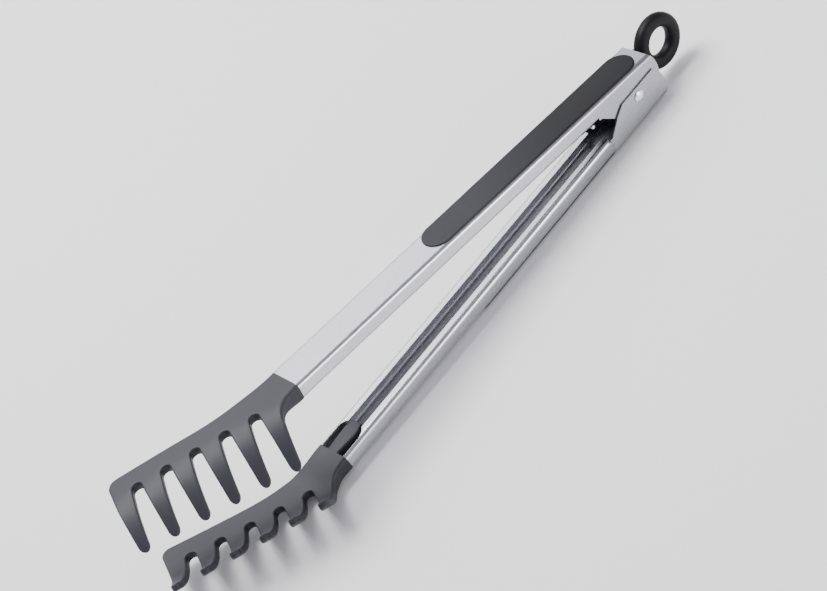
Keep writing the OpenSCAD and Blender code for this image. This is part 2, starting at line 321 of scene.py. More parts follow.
class Slot(Enum):
    """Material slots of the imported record."""

    ARM = "arm_steel"
    PIN = "pin_steel"
    SPRING = "spring_steel"
    GRIP = "soft_grip"
    HEAD = "head_nylon"
    LOCK = "lock_plastic"
    BUSH = "bush_nylon"


def plug(tree: Tree, node: bpy.types.Node, **inputs: object) -> bpy.types.Node:
    """Sets a node's inputs to values, or links them to sockets.

    Args:
        tree: The nodes that the links join.
        node: The node.
        inputs: Value or socket for each input's name, with underscores for its spaces.

    Returns:
        The node.
    """
    for name, value in inputs.items():
        socket = node.inputs[name.replace("_", " ")]
        if isinstance(value, Socket):
            tree.links.new(value, socket)
        else:
            socket.default_value = value
    return node


def ramp(tree: Tree, factor: Socket, span: Pair, colours: tuple[list[float], list[float]]) -> Socket:
    """Colour ramp between two colours.

    Args:
        tree: The nodes that it joins.
        factor: What the colour follows.
        span: The factor's values at the two colours.
        colours: The two colours.

    Returns:
        The ramp's colour.
    """
    node = plug(tree, tree.nodes.new("ShaderNodeValToRGB"), Fac=factor)
    for element, place, colour in zip(node.color_ramp.elements, span, colours):
        element.position = place
        element.color = (*colour, 1.0)
    return node.outputs["Color"]


def ranged(tree: Tree, value: Socket, span: Pair, ends: Pair) -> Socket:
    """Carries a value's span to two ends in proportion, and holds it there."""
    node = tree.nodes.new("ShaderNodeMapRange")
    return plug(tree, node, Value=value, From_Min=span[0], From_Max=span[1], To_Min=ends[0],
                To_Max=ends[1]).outputs["Result"]


def mixed(tree: Tree, blend: str, **inputs: object) -> Socket:
    """Mixes two colours.

    Args:
        tree: The nodes that it joins.
        blend: Blend type.
        inputs: Factor, A and B.

    Returns:
        The mixed colour.
    """
    node = tree.nodes.new("ShaderNodeMix")
    node.data_type = "RGBA"
    node.blend_type = blend
    return plug(tree, node, **inputs).outputs["Result"]


@dataclass(frozen=True)
class Finish:
    """One procedural finish: a colour broken up by grain, with its own roughness and bump.

    Grain is noise on Object coordinates, stretched by its scale along each axis, per metre, and
    cloud is broader noise. Each shade is the share by which its noise darkens and lightens.
    Painted shade along X is two places along X, in metres, and the share of the colour left at the second; it
    paints shade and a falling highlight into the colour.
    """

    slot: Slot
    colour: Triple
    shade: float
    metallic: float
    roughness: Pair
    grain: Triple
    bump: float
    bump_depth: float
    cloud: float = 30.0
    cloud_shade: float = 0.0
    # share of painted highlight along sharp edges
    edge_highlight: float = 0.0
    specular: float = 0.5
    # painted shade along X: two places in metres and the share of colour left at the second
    painted_shade_along_x: Triple | None = None

    def make(self) -> bpy.types.Material:
        """Builds the finish's material.

        Returns:
            The material.
        """
        material = bpy.data.materials.new(self.slot.value)
        material.use_nodes = True
        tree = material.node_tree
        place = tree.nodes.new("ShaderNodeTexCoord").outputs["Object"]
        fine = self._noise(tree, place, self.grain, 4.0)
        cloud = self._noise(tree, place, (self.cloud,) * 3, 2.0)
        colour = mixed(tree, "MULTIPLY", Factor=1.0, A=self._shaded(tree, fine, self.colour, self.shade),
                       B=self._shaded(tree, cloud, (1.0, 1.0, 1.0), self.cloud_shade))
        # Painted highlight along sharp edges.
        if self.edge_highlight:
            colour = self._painted_edge_highlight(tree, colour)
        # Painted shade: darkens the colour along X.
        if self.painted_shade_along_x:
            colour = self._painted_shade_along_x(tree, place, colour)
        bump = plug(tree, tree.nodes.new("ShaderNodeBump"), Strength=self.bump, Distance=self.bump_depth,
                    Height=fine)
        plug(tree, tree.nodes["Principled BSDF"], Metallic=self.metallic, Specular_IOR_Level=self.specular,
             Base_Color=colour, Roughness=ranged(tree, fine, GRAIN_SPAN, self.roughness),
             Normal=bump.outputs["Normal"])
        return material

    @staticmethod
    def _noise(tree: Tree, place: Socket, scale: Triple, detail: float) -> Socket:
        """Noise at a place, stretched by a scale along each axis."""
        mapping = plug(tree, tree.nodes.new("ShaderNodeMapping"), Vector=place, Scale=scale)
        return plug(tree, tree.nodes.new("ShaderNodeTexNoise"), Vector=mapping.outputs["Vector"], Scale=1.0,
                    Detail=detail).outputs["Fac"]

    @staticmethod
    def _shaded(tree: Tree, factor: Socket, colour: Triple, shade: float) -> Socket:
        """Goes from darker to lighter than a colour by a share of it."""
        dark, light = [c * (1.0 - shade) for c in colour], [min(1.0, c * (1.0 + shade)) for c in colour]
        return ramp(tree, factor, GRAIN_SPAN, (dark, light))

    def _painted_edge_highlight(self, tree: Tree, colour: Socket) -> Socket:
        """Lightens the colour along edges, by how pointed the surface is there: a painted highlight.

        Args:
            tree: The material's nodes.
            colour: The colour on a flat face.

        Returns:
            The colour, lighter along edges.
        """
        pointed = tree.nodes.new("ShaderNodeNewGeometry").outputs["Pointiness"]
        share = ramp(tree, pointed, EDGE_SPAN, ([0.0] * 3, [self.edge_highlight] * 3))
        lighter = (*[min(1.0, c * 2.0) for c in self.colour], 1.0)
        return mixed(tree, "MIX", Factor=share, A=colour, B=lighter)

    def _painted_shade_along_x(self, tree: Tree, place: Socket, colour: Socket) -> Socket:
        """Darkens the colour along X as painted shade: darker reflections towards the rivet on the arms, a
        highlight falling off towards the rivet end on the grips.

        Args:
            tree: The material's nodes.
            place: Object coordinates.
            colour: The colour before the painted shade.

        Returns:
            The colour, scaled along X.
        """
        split = plug(tree, tree.nodes.new("ShaderNodeSeparateXYZ"), Vector=place)
        share = ranged(tree, split.outputs["X"], self.painted_shade_along_x[:2], (1.0, self.painted_shade_along_x[2]))
        scaled = tree.nodes.new("ShaderNodeVectorMath")
        scaled.operation = "SCALE"
        return plug(tree, scaled, Vector=colour, Scale=share).outputs["Vector"]


FINISHES = {finish.slot: finish for finish in (
    # arm steel: painted shade along X darkens it towards the rivet, standing in for darker reflections there
    Finish(Slot.ARM, (0.56, 0.56, 0.59), 0.06, 1.0, (0.22, 0.32), (60.0, 3000.0, 3000.0), 0.12, 0.00002,
           cloud=60.0, cloud_shade=0.02, painted_shade_along_x=(0.0, 0.045, 0.72)),
    Finish(Slot.PIN, (0.86, 0.86, 0.88), 0.02, 1.0, (0.30, 0.38), (1500.0, 1500.0, 1500.0), 0.06, 0.00002),
    Finish(Slot.SPRING, (0.42, 0.42, 0.46), 0.06, 1.0, (0.26, 0.38), (2500.0, 900.0, 2500.0), 0.15, 0.00002),
    # soft grip: painted shade along X keeps a painted highlight at the front and darkens towards the rivet
    # end
    Finish(Slot.GRIP, (0.024, 0.024, 0.028), 0.22, 0.0, (0.40, 0.50), (2600.0, 2600.0, 2600.0), 0.35, 0.00005,
           cloud=40.0, cloud_shade=0.06, specular=0.22, painted_shade_along_x=(-0.04, 0.02, 0.25)),
    # head nylon: lighter along its edges, a painted highlight
    Finish(Slot.HEAD, (0.025, 0.025, 0.033), 0.07, 0.0, (0.46, 0.58), (2200.0, 2200.0, 2200.0), 0.2, 0.00004,
           cloud=35.0, cloud_shade=0.05, edge_highlight=0.35, specular=0.35),
    Finish(Slot.LOCK, (0.005, 0.005, 0.006), 0.12, 0.0, (0.46, 0.56), (1800.0, 1800.0, 1800.0), 0.15, 0.00004,
           cloud=50.0, cloud_shade=0.05, specular=0.18),
    Finish(Slot.BUSH, (0.70, 0.70, 0.67), 0.03, 0.0, (0.40, 0.50), (1500.0, 1500.0, 1500.0), 0.1, 0.00003),
)}


def stand(name: str, data: bpy.types.ID) -> Object:
    """Makes an object of a mesh, a light or a camera, in the scene.

    Args:
        name: Name of the object.
        data: What it shows.

    Returns:
        The object.
    """
    made = bpy.data.objects.new(name, data)
    bpy.context.scene.collection.objects.link(made)
    return made


@dataclass
class Workshop:
    """Turns shells into finished pieces on the frame."""

    hinge: Hinge
    materials: dict[Slot, bpy.types.Material] = field(default_factory=dict)

    def material(self, slot: Slot) -> bpy.types.Material:
        """The material of a slot, made the first time that it is asked for."""
        if slot not in self.materials:
            self.materials[slot] = FINISHES[slot].make()
        return self.materials[slot]

    def piece(self, name: str, shell: Shell, side: Side, slot: Slot, replaces: list[str],
              crease: float = 35.0, sheet: bool = False) -> Object:
        """Makes a piece from a shell: placed, welded, shaded smooth, dressed.

        Args:
            name: Name of the piece.
            shell: Its grids, in the drawing position.
            side: The half whose place it takes.
            slot: Slot of its finish.
            replaces: CAD nodes that it stands for.
            crease: Angle between faces past which an edge stays sharp, in degrees.
            sheet: Whether it is an open sheet, which keeps the way that its faces were drawn.

        Returns:
            The piece.
        """
        mesh = bpy.data.meshes.new(name)
        mesh.from_pydata(self.hinge.place(np.concatenate(shell.points), side), [], shell.faces)
        work = bmesh.new()
        work.from_mesh(mesh)
        bmesh.ops.remove_doubles(work, verts=work.verts, dist=WELD)
        bmesh.ops.dissolve_degenerate(work, edges=work.edges, dist=WELD)
        bmesh.ops.delete(work, geom=[v for v in work.verts if not v.link_faces], context="VERTS")
        if not sheet:
            bmesh.ops.recalc_face_normals(work, faces=work.faces)
        elif side is Side.UPPER:
            bmesh.ops.reverse_faces(work, faces=work.faces)
        work.to_mesh(mesh)
        work.free()
        mesh.shade_smooth()
        mesh.set_sharp_from_angle(angle=math.radians(crease))
        mesh.materials.append(self.material(slot))
        piece = stand(name, mesh)
        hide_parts(*replaces)
        LOG.info("%s: %d faces, stands for %s", name, len(mesh.polygons), ", ".join(replaces))
        return piece


# ---- arms ----


@dataclass(frozen=True)
class ChannelArm:
    """A folded steel channel arm: web, flanges, inturned lips, and ears at the rivet."""

    hinge: Hinge
    sheet: float = 0.8
    bend_r: float = 2.4
    channel_h: float = 8.6
    lip_gap: float = 9.3
    ear_start: float = -25.0
    ear_foot: Pair = (-23.5, -4.6)
    ear_mid: Pair = (-16.0, 1.5)
    ear_head: Pair = (-10.4, 4.6)
    ear_round: float = 14.8
    ear_round_at: Pair = (2.0, -5.0)
    joggle_len: float = 2.6
    run_out_len: float = 10.0
    run_out_half_w: float = 7.6
    edge_r: float = 0.14

    @property
    def bend_top(self) -> float:
        """Height where the flange's straight part ends and the lip's bend starts."""
        return self.channel_h - self.hinge.back_h - self.bend_r

    def half_w(self, x: Array, side: Side) -> Array:
        """Half width of the arm: the lower one widens by an eased step before its ears.

        Args:
            x: Places along the arm.
            side: Which arm.

        Returns:
            Half widths, shaped like the places.
        """
        half = np.full_like(x, self.hinge.arm_w / 2)
        if side is Side.LOWER:
            step = self.hinge.ear_half_w - self.hinge.arm_w / 2
            half = half + step * ease((x - self.ear_start + self.joggle_len / 2) / self.joggle_len)
        return half

    def core(self, x: Array, half_w: Array) -> Array:
        """Right half of the section up to the flange's top, from the middle of the web.

        The web is a straight line, the bend a quarter circle, the flange a straight line up.

        Args:
            x: Places along the arm, (rows, columns).
            half_w: Half widths at them.

        Returns:
            Points, (rows, points across, 3).
        """
        web = np.linspace(0.0, 1.0, 9)
        turn = quarter_turn(10)[1:]
        rise = np.linspace(0.0, 1.0, 5)[1:]
        y = np.concatenate([
            (half_w - self.bend_r) * web,
            (half_w - self.bend_r) + self.bend_r * np.sin(turn),
            half_w + 0.0 * rise,
        ], 1)
        foot = self.bend_r - self.hinge.back_h
        z = np.concatenate([0.0 * web - self.hinge.back_h, foot - self.bend_r * np.cos(turn),
                            mix(foot, self.bend_top, rise)])
        return stacked(x, y, z)

    def lip(self, x: Array, half_w: Array) -> Array:
        """The bend over the flange and the lip, out to its edge.

        A length l past the flange lies on a quarter circle while l is less than radius times a
        quarter turn, and on a level line inwards after it. Near the head the edge draws back
        along a circle, to the run-out's width.

        Args:
            x: Places along the arm, (rows, 1).
            half_w: Half widths at them.

        Returns:
            Points, (rows, points across, 3).
        """
        past = x[:, 0] + self.hinge.arm_len - self.run_out_len
        round_end = np.sqrt(np.clip(self.run_out_half_w ** 2 - np.maximum(past, 0.0) ** 2, 0.0, None))
        edge = np.maximum(self.lip_gap / 2, round_end)[:, None]
        quarter = self.bend_r * math.pi / 2
        flat_from = half_w - self.bend_r
        cut_angle = np.arcsin(np.clip((edge - flat_from) / self.bend_r, 0.0, 1.0))
        length = np.where(edge < flat_from, quarter + flat_from - edge, quarter - self.bend_r * cut_angle)
        along = length * np.linspace(0.0, 1.0, 25)[1:]
        turn = np.minimum(along, quarter) / self.bend_r
        y = flat_from + self.bend_r * np.cos(turn) - np.maximum(along - quarter, 0.0)
        return stacked(x, y, self.bend_top + self.bend_r * np.sin(turn))

    def ear(self, x: Array, half_w: Array) -> Array:
        """The flange carried straight up to the ear's edge, a line through three corners.

        Args:
            x: Places along the arm, (rows, 1).
            half_w: Half widths at them.

        Returns:
            Points, (rows, points across, 3).
        """
        corners = np.array([(self.ear_start, self.ear_foot[1]), self.ear_foot, self.ear_mid, self.ear_head])
        top = np.interp(x[:, 0], corners[:, 0], corners[:, 1])[:, None]
        return stacked(x, half_w, mix(self.bend_top, top, np.linspace(0.0, 1.0, 13)[1:]))

    def rounded_back(self, grid: Array) -> Array:
        """Stretches the last rows along X so that they end on the ear's round back edge.

        Args:
            grid: The arm's points, (rows, columns, 3), which are changed.

        Returns:
            The same grid.
        """
        start, middle = self.ear_head[0], self.ear_round_at
        reach = middle[0] + np.sqrt(self.ear_round ** 2 - (grid[..., 2] - middle[1]) ** 2)
        share = (grid[..., 0] - start) / (middle[0] - start)
        grid[..., 0] = np.where(share > 0.0, start + share * (reach - start), grid[..., 0])
        return grid

    @staticmethod
    def both_hands(half: Array) -> Array:
        """A right half section and its mirror image, as one grid from the left edge to the right."""
        left = half[:, :0:-1] * np.array([1.0, -1.0, 1.0])
        return np.concatenate([left, half], 1)

    def build(self, shop: Workshop, side: Side) -> Object:
        """Makes one arm: the lipped channel and the eared trough, welded along their shared edge.

        Args:
            shop: Makes the piece.
            side: Which arm.

        Returns:
            The arm.
        """
        head_x = -self.hinge.arm_len
        past = head_x + self.run_out_len
        channel_x = stations([head_x, past, past + self.run_out_half_w, self.ear_start - self.joggle_len,
                              self.ear_start], [8, 30, 40, 7])
        trough_x = stations([self.ear_start, self.ear_foot[0], self.ear_mid[0], self.ear_head[0],
                             self.ear_round_at[0]], [5, 7, 6, 14])
        shell = Shell()
        for x, edge in ((channel_x, self.lip), (trough_x, self.ear)):
            half_w = self.half_w(x, side)
            half = np.concatenate([self.core(x, half_w), edge(x, half_w)], 1)
            shell.add_grid(self.rounded_back(self.both_hands(half)))
        name = f"{side.value}_arm_channel"
        arm = shop.piece(name, shell, side, Slot.ARM, [f"{side.value}_arm"], crease=28.0, sheet=True)
        wall = arm.modifiers.new("sheet", "SOLIDIFY")
        wall.thickness = self.sheet * MM
        wall.offset = -1.0
        wall.use_even_offset = True
        edges = arm.modifiers.new("edges", "BEVEL")
        edges.width = self.edge_r * MM
        edges.segments = 2
        edges.harden_normals = True
        edges.limit_method = "ANGLE"
        edges.angle_limit = math.radians(50.0)
        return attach(arm, side.body)


@dataclass(frozen=True)
class Grip:
    """A soft grip on an arm's back: a pad with round ends, a rounded rim and a low crown."""

    hinge: Hinge
    length: float = 140.0
    width: float = 16.4
    thickness: float = 0.9
    rim_r: float = 0.5
    crown: float = 0.16
    sunk: float = 0.3
    around: int = 64

    def outline(self) -> tuple[Array, Array]:
        """Outline of two half circles joined by straight sides.

        Returns:
            Outline points, (n, 2), and the middle line's nearest point for each.
        """
        reach, r = (self.length - self.width) / 2, self.width / 2
        side = np.linspace(-1.0, 1.0, self.around)[1:-1]
        flat = np.stack([reach * side, np.full_like(side, r)], -1)
        edge = np.concatenate([
            arc(np.array([-reach, 0.0]), r, 1.5 * math.pi, 0.5 * math.pi, self.around),
            flat,
            arc(np.array([reach, 0.0]), r, 0.5 * math.pi, -0.5 * math.pi, self.around),
            -flat,
        ])
        middle = np.stack([np.clip(edge[:, 0], -reach, reach), 0.0 * edge[:, 1]], -1)
        return edge, middle

    def build(self, shop: Workshop, side: Side) -> Object:
        """Makes one grip.

        From the rim to the middle line a share k of the outline's offset is left. The height is a
        quarter circle over the rim, then a crown that grows with one less k squared.

        Args:
            shop: Makes the piece.
            side: Which grip.

        Returns:
            The grip.
        """
        edge, middle = self.outline()
        r = self.width / 2
        turn = quarter_turn(7)
        rim_share = 1.0 - self.rim_r * (1.0 - np.cos(turn)) / r
        shoulder = self.thickness - self.crown
        rim_height = shoulder - self.rim_r + self.rim_r * np.sin(turn)
        top_share = np.linspace(rim_share[-1], 0.0, 12)[1:]
        top_height = shoulder + self.crown * (1.0 - (top_share / rim_share[-1]) ** 2)
        share = np.concatenate([[0.0, 0.5, 1.0], rim_share, top_share])
        height = np.concatenate([[-self.sunk] * 3, rim_height, top_height])
        plan = middle[None] + (edge - middle)[None] * share[:, None, None]
        grid = stacked(plan[..., 0] - self.hinge.pin[0], plan[..., 1], -self.hinge.back_h - height[:, None])
        name = f"{side.value}_grip"
        shell = Shell().add_grid(grid, wrap_columns=True)
        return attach(shop.piece(f"{name}_pad", shell, side, Slot.GRIP, [name]), side.body)


# ---- comb heads ----


@dataclass(frozen=True)
class Rib:
    """The rib that stands in the arm's end: a narrow neck, a wider body and a blunt nose."""

    lap: float = 0.6
    length: float = 12.6
    nose: float = 5.0
    neck_half_w: float = 3.1
    half_w: float = 4.3
    tip_half_w: float = 2.6
    foot: float = 1.0
    dip: float = 0.6
    edge_r: float = 0.6


@dataclass(frozen=True)
class CombHead:
    """A moulded nylon head: a root block flush with its arm, a swept plate and curled teeth.

    The plan outline is one path of lines and arcs. A rounded wall profile is carried along it,
    and a flat mesh of the plan closes each face. surface() bends the plan into space.
    """

    hinge: Hinge
    teeth: int = 6
    pitch: float = 14.6
    tooth_len: float = 25.8
    root_w: float = 9.6
    tip_w: float = 4.7
    plate_t: float = 4.4
    tip_t: float = 3.2
    plate_w: float = 9.3
    slot_w: float = 5.0
    turn: float = math.radians(27.2)
    lean: float = math.radians(-1.8)
    sweep_r: float = 92.0
    corner_r: float = 4.5
    end_wall: float = 0.5
    slot_ahead: Pair = (21.5, -1.5)
    channel_h: float = 8.6
    root_edge_r: float = 2.4
    edge_r: float = 0.7
    root_turn: float = math.radians(14.0)
    root_fillet: float = 12.0
    curl_power: float = 2.1
    first_tip_z: float = 6.1
    tip_rise: float = 0.72
    rise_slope: float = 0.055
    rise_bend: float = 0.00057
    spacing: float = 0.8
    fill: float = 1.3
    rib: Rib = Rib()

    @property
    def along(self) -> Array:
        """Direction of the row of slots, away from the arm."""
        return np.array([-math.cos(self.turn), math.sin(self.turn)])

    @property
    def out(self) -> Array:
        """Direction across the plate, from the teeth to the back edge."""
        return np.array([math.sin(self.turn), math.cos(self.turn)])

    @property
    def reach(self) -> Array:
        """Direction of a tooth, from its root to its tip."""
        angle = self.turn + self.lean
        return np.array([-math.sin(angle), -math.cos(angle)])

    @property
    def first_slot(self) -> Array:
        """Deepest point of the first slot's round end."""
        return np.array([-self.hinge.arm_len - self.slot_ahead[0], self.slot_ahead[1]])

    def root(self, index: Array | int) -> Array:
        """Middle of a tooth's root."""
        return self.first_slot + (np.asarray(index)[..., None] - 0.5) * self.pitch * self.along

    def tooth_edges(self, index: int) -> tuple[Array, Array, Array]:
        """A tooth's far side, round tip and near side, going round it.

        The tip's radius is the half width where the tip's circle has its middle.

        Args:
            index: Which tooth, from the arm outwards.

        Returns:
            Points of the far side, the tip and the near side, (n, 2) each.
        """
        taper = (self.root_w - self.tip_w) / 2 / self.tooth_len
        tip_r = self.tip_w / 2 / (1.0 - taper)
        middle = self.root(index) + (self.tooth_len - tip_r) * self.reach
        across = np.array([self.reach[1], -self.reach[0]])
        start = math.atan2(across[1], across[0])
        tip = arc(middle, tip_r, start, start + math.pi, 18)
        start = self.root(index) - self.slot_w / 2 * self.out
        half = (self.pitch - self.slot_w) / 2 * self.along
        far = line(start + half, tip[0], self.spacing)
        near = line(tip[-1], start - half, self.spacing)
        return far, tip, near

    def outline(self) -> Array:
        """The plan outline, from the arm's back corner round the comb to its front corner.

        Returns:
            Points, (n, 2).
        """
        head_x, half = -self.hinge.arm_len, self.hinge.arm_w / 2
        quarter = math.pi / 2
        back = arc(np.array([head_x, half + self.sweep_r]), self.sweep_r, -quarter, -quarter - self.turn, 50)
        far_end = (self.first_slot - back[-1]) @ self.along + (self.teeth - 1.5) * self.pitch
        far_end += self.root_w / 2 + self.end_wall
        bend = back[-1] + (far_end - self.corner_r) * self.along - self.corner_r * self.out
        start = math.atan2(self.out[1], self.out[0])
        corner = arc(bend, self.corner_r, start, start + quarter, 12)
        parts = [back, line(back[-1], corner[0], self.spacing), corner]
        for index in range(self.teeth - 1, -1, -1):
            far, tip, near = self.tooth_edges(index)
            if index == self.teeth - 1:
                far = far[len(far) // 4:]
                far = np.concatenate([line(corner[-1], far[0], self.spacing)[:-1], far])
            if index == 0:
                parts += [far, tip, *self.root_corner(tip[-1], near[-1], half)]
            else:
                slot = self.first_slot + (index - 1) * self.pitch * self.along - self.slot_w / 2 * self.out
                start = math.atan2(self.along[1], self.along[0])
                parts += [far, tip, near, arc(slot, self.slot_w / 2, start, start - math.pi, 16)]
        path = np.concatenate(parts)
        return path[np.linalg.norm(np.diff(path, axis=0, prepend=path[:1] + 1.0), axis=1) > LEAST_STEP]

    def root_corner(self, tip: Array, root: Array, half: float) -> tuple[Array, ...]:
        """First tooth's near side, the fillet into the root block, and the block's side.

        The fillet's circle touches both lines at radius times the tangent of half the turn
        between them from the corner where they meet.

        Args:
            tip: Where the tooth's near side starts.
            root: A point further along it.
            half: The root block's half width.

        Returns:
            Points of the side, the fillet and the block's side, (n, 2) each.
        """
        way = (root - tip) / np.linalg.norm(root - tip)
        corner = tip + way * (-half - tip[1]) / way[1]
        turn = math.atan2(way[1], way[0])
        cut = self.root_fillet * math.tan(turn / 2)
        begin = corner - way * cut
        centre = begin + self.root_fillet * np.array([way[1], -way[0]])
        fillet = arc(centre, self.root_fillet, turn + math.pi / 2, math.pi / 2, 18)
        side = line(fillet[-1], np.array([-self.hinge.arm_len, -half]), self.spacing)
        return line(tip, begin, self.spacing), fillet, side

    def root_share(self, x: Array) -> Array:
        """0 at the arm, easing to 1 where the plate has its own thickness."""
        ahead = np.clip((-self.hinge.arm_len - x) / self.sweep_r, 0.0, 1.0)
        return ease(np.arcsin(ahead) / self.root_turn)

    def rise(self, x: Array) -> Array:
        """Height of the plate's outer face over the arm's back: a line and a square of the distance."""
        ahead = np.maximum(0.0, -self.hinge.arm_len - x)
        return self.rise_slope * ahead + self.rise_bend * ahead ** 2

    def thickness(self, plan: Array) -> Array:
        """Thickness of the moulding.

        Args:
            plan: Plan points, (n, 2).

        Returns:
            Thickness at each.
        """
        _, share = self.tooth_place(plan)
        plate = mix(self.channel_h, self.plate_t, self.root_share(plan[:, 0]))
        return plate - (self.plate_t - self.tip_t) * np.clip(share, 0.0, 1.0)

    def tooth_place(self, plan: Array) -> tuple[Array, Array]:
        """Which tooth a plan point belongs to, and what share of the tooth's length it lies out.

        Args:
            plan: Plan points, (n, 2).

        Returns:
            Index of the tooth, and the share, for each.
        """
        basis = np.linalg.inv(np.stack([self.along * self.pitch, self.reach * self.tooth_len], 1))
        place = (plan - self.first_slot) @ basis.T
        return np.clip(np.round(place[:, 0] + 0.5), 0, self.teeth - 1), place[:, 1]

    def surface(self, plan: Array, depth: Array) -> Array:
        """Bends the plan into space.

        The middle layer lies half a thickness above the rise, plus the tooth's curl, which is its
        full height times the share of its length to the curl's power. Depth is measured from the
        outer face along the layer's own normal.

        Args:
            plan: Plan points, (n, 2).
            depth: Distance from the outer face, (n,).

        Returns:
            Points, (n, 3).
        """
        index, share = self.tooth_place(plan)
        share = np.maximum(share, 0.0)
        thick = self.thickness(plan)
        own = self.rise(self.root(index)[:, 0]) + self.plate_t / 2 - self.hinge.back_h
        level = self.rise(plan[:, 0]) + thick / 2 - self.hinge.back_h
        height = self.first_tip_z + self.tip_rise * index - own
        curl = height * share ** self.curl_power
        slope = np.arctan(height * self.curl_power * share ** (self.curl_power - 1.0) / self.tooth_len)
        middle = mix(level, own, ease(share / 0.5)) + curl
        lift = depth - thick / 2
        flat = plan - (np.sin(slope) * lift)[:, None] * self.reach
        return np.concatenate([flat, (middle + np.cos(slope) * lift)[:, None]], 1)

    def inward(self, path: Array) -> Array:
        """Unit normals of the outline, pointing into the moulding, square to the arm at its ends.

        Args:
            path: Outline points, (n, 2).

        Returns:
            Normals, (n, 2).
        """
        way = np.gradient(path, axis=0)
        way[0] = way[-1] = 0.0
        way[0, 0], way[-1, 0] = -1.0, 1.0
        way /= np.linalg.norm(way, axis=1)[:, None]
        return np.stack([-way[:, 1], way[:, 0]], -1)

    def face(self, rim: Array, outer: bool) -> tuple[Array, list[list[int]]]:
        """Triangles that fill the plan inside a rim.

        A square lattice fills the rim's inside, kept clear of it, and a constrained Delaunay
        mesh joins both.

        Args:
            rim: Points round the face, (n, 2).
            outer: Whether it is the outer face.

        Returns:
            Points in space, and the triangles that index them.
        """
        low, high = rim.min(0), rim.max(0)
        x, y = np.meshgrid(np.arange(low[0], high[0], self.fill), np.arange(low[1], high[1], self.fill))
        lattice = np.stack([x.ravel(), y.ravel()], -1)
        gap = np.linalg.norm(lattice[:, None] - rim[None], axis=2).min(1)
        following = np.roll(rim, -1, axis=0)
        above = (rim[None, :, 1] > lattice[:, None, 1]) != (following[None, :, 1] > lattice[:, None, 1])
        run = following[:, 1] - rim[:, 1]
        run = np.where(np.abs(run) < 1e-9, 1e-9, run)
        cross = rim[:, 0] + (lattice[:, None, 1] - rim[:, 1]) * (following[:, 0] - rim[:, 0]) / run
        inside = (above & (lattice[:, None, 0] < cross)).sum(1) % 2 == 1
        points = np.concatenate([rim, lattice[inside & (gap > 0.45 * self.fill)]])
        ring = np.arange(len(rim))
        edges = np.stack([ring, np.roll(ring, -1)], -1).tolist()
        flat, _, faces, *_ = delaunay_2d_cdt(points.tolist(), edges, [ring.tolist()], 1, 1e-5)
        plan = np.array(flat)
        return self.surface(plan, np.zeros(len(plan)) if outer else self.thickness(plan)), faces

    def shell(self) -> Shell:
        """Wall, two faces and the end against the arm, as one closed shell.

        The wall's profile at each outline point is a quarter circle from the outer face, a
        straight wall, and a quarter circle to the inner face.

        Returns:
            The shell.
        """
        path = self.outline()
        inward = self.inward(path)
        share = self.root_share(path[:, 0])
        outer_r = mix(self.root_edge_r, self.edge_r, share)[:, None]
        inner_r = mix(0.7 * self.root_edge_r, self.edge_r, share)[:, None]
        thick = self.thickness(path)[:, None]
        turn = quarter_turn(6)[None]
        wall = np.linspace(0.0, 1.0, 5)[None, 1:-1]
        inset = np.concatenate([outer_r * (1.0 - np.sin(turn)), 0.0 * outer_r * wall,
                                inner_r * (1.0 - np.cos(turn))], 1)
        depth = np.concatenate([outer_r * (1.0 - np.cos(turn)), mix(outer_r, thick - inner_r, wall),
                                thick - inner_r * (1.0 - np.sin(turn))], 1)
        plan = path[:, None] + inset[..., None] * inward[:, None]
        place = np.repeat(path[:, None], inset.shape[1], 1)
        band = self.wall(place.reshape(-1, 2), plan.reshape(-1, 2), depth.ravel()).reshape(*inset.shape, 3)
        shell = Shell().add_grid(band).add_grid(np.stack([band[0], band[-1]], 1))
        return shell.add_faces(*self.face(plan[:, 0], True)).add_faces(*self.face(plan[:, -1], False))

    def wall(self, path: Array, plan: Array, depth: Array) -> Array:
        """surface() for wall points, with depth stretched so that each ring ends on the inner face."""
        return self.surface(plan, depth / self.thickness(path) * self.thickness(plan))

    def build(self, shop: Workshop, side: Side) -> Object:
        """Makes one head, with the rib that shows in the gap between the arm's lips.

        Args:
            shop: Makes the piece.
            side: Which head.

        Returns:
            The head.
        """
        shell = self.shell()
        end, top = -self.hinge.arm_len, self.channel_h - self.hinge.back_h
        rib = self.rib
        shell.add_block([end - rib.lap, end + rib.length, end + rib.length + rib.nose],
                        [rib.neck_half_w, rib.half_w, rib.tip_half_w], rib.foot - self.hinge.back_h,
                        [top, top, top - rib.dip], rib.edge_r)
        name = f"{side.value}_head"
        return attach(shop.piece(f"{name}_comb", shell, side, Slot.HEAD, [name], crease=40.0), side.body)
# ---- pivot ----


def dome_profile(radius: float, height: float, base: float, towards: float, steps: int = 14) -> Array:
    """Profile of a shallow dome, from its pole to its rim: a circle's arc through both.

    Args:
        radius: The dome's radius at its base.
        height: The dome's height.
        base: Place of the base along Y.
        towards: 1 or -1, the way that the dome faces along Y.
        steps: Points in the profile.

    Returns:
        Points (radius, place along Y).
    """
    ball = (radius ** 2 + height ** 2) / (2 * height)
    r = radius * np.sin(quarter_turn(steps - 1))
    rise = np.sqrt(ball ** 2 - r ** 2) - (ball - height)
    return np.stack([r, base + towards * rise], -1)


def ring_profile(inner: float, outer: float, low: float, high: float, edge: float) -> Array:
    """Closed profile of a flat ring with rounded edges, as points (radius, place along Y)."""
    shape = round_rect(np.array([(outer - inner) / 2]), np.array([(high - low) / 2]), np.array([edge]), 4)[0]
    return shape + np.array([(outer + inner) / 2, (high + low) / 2])


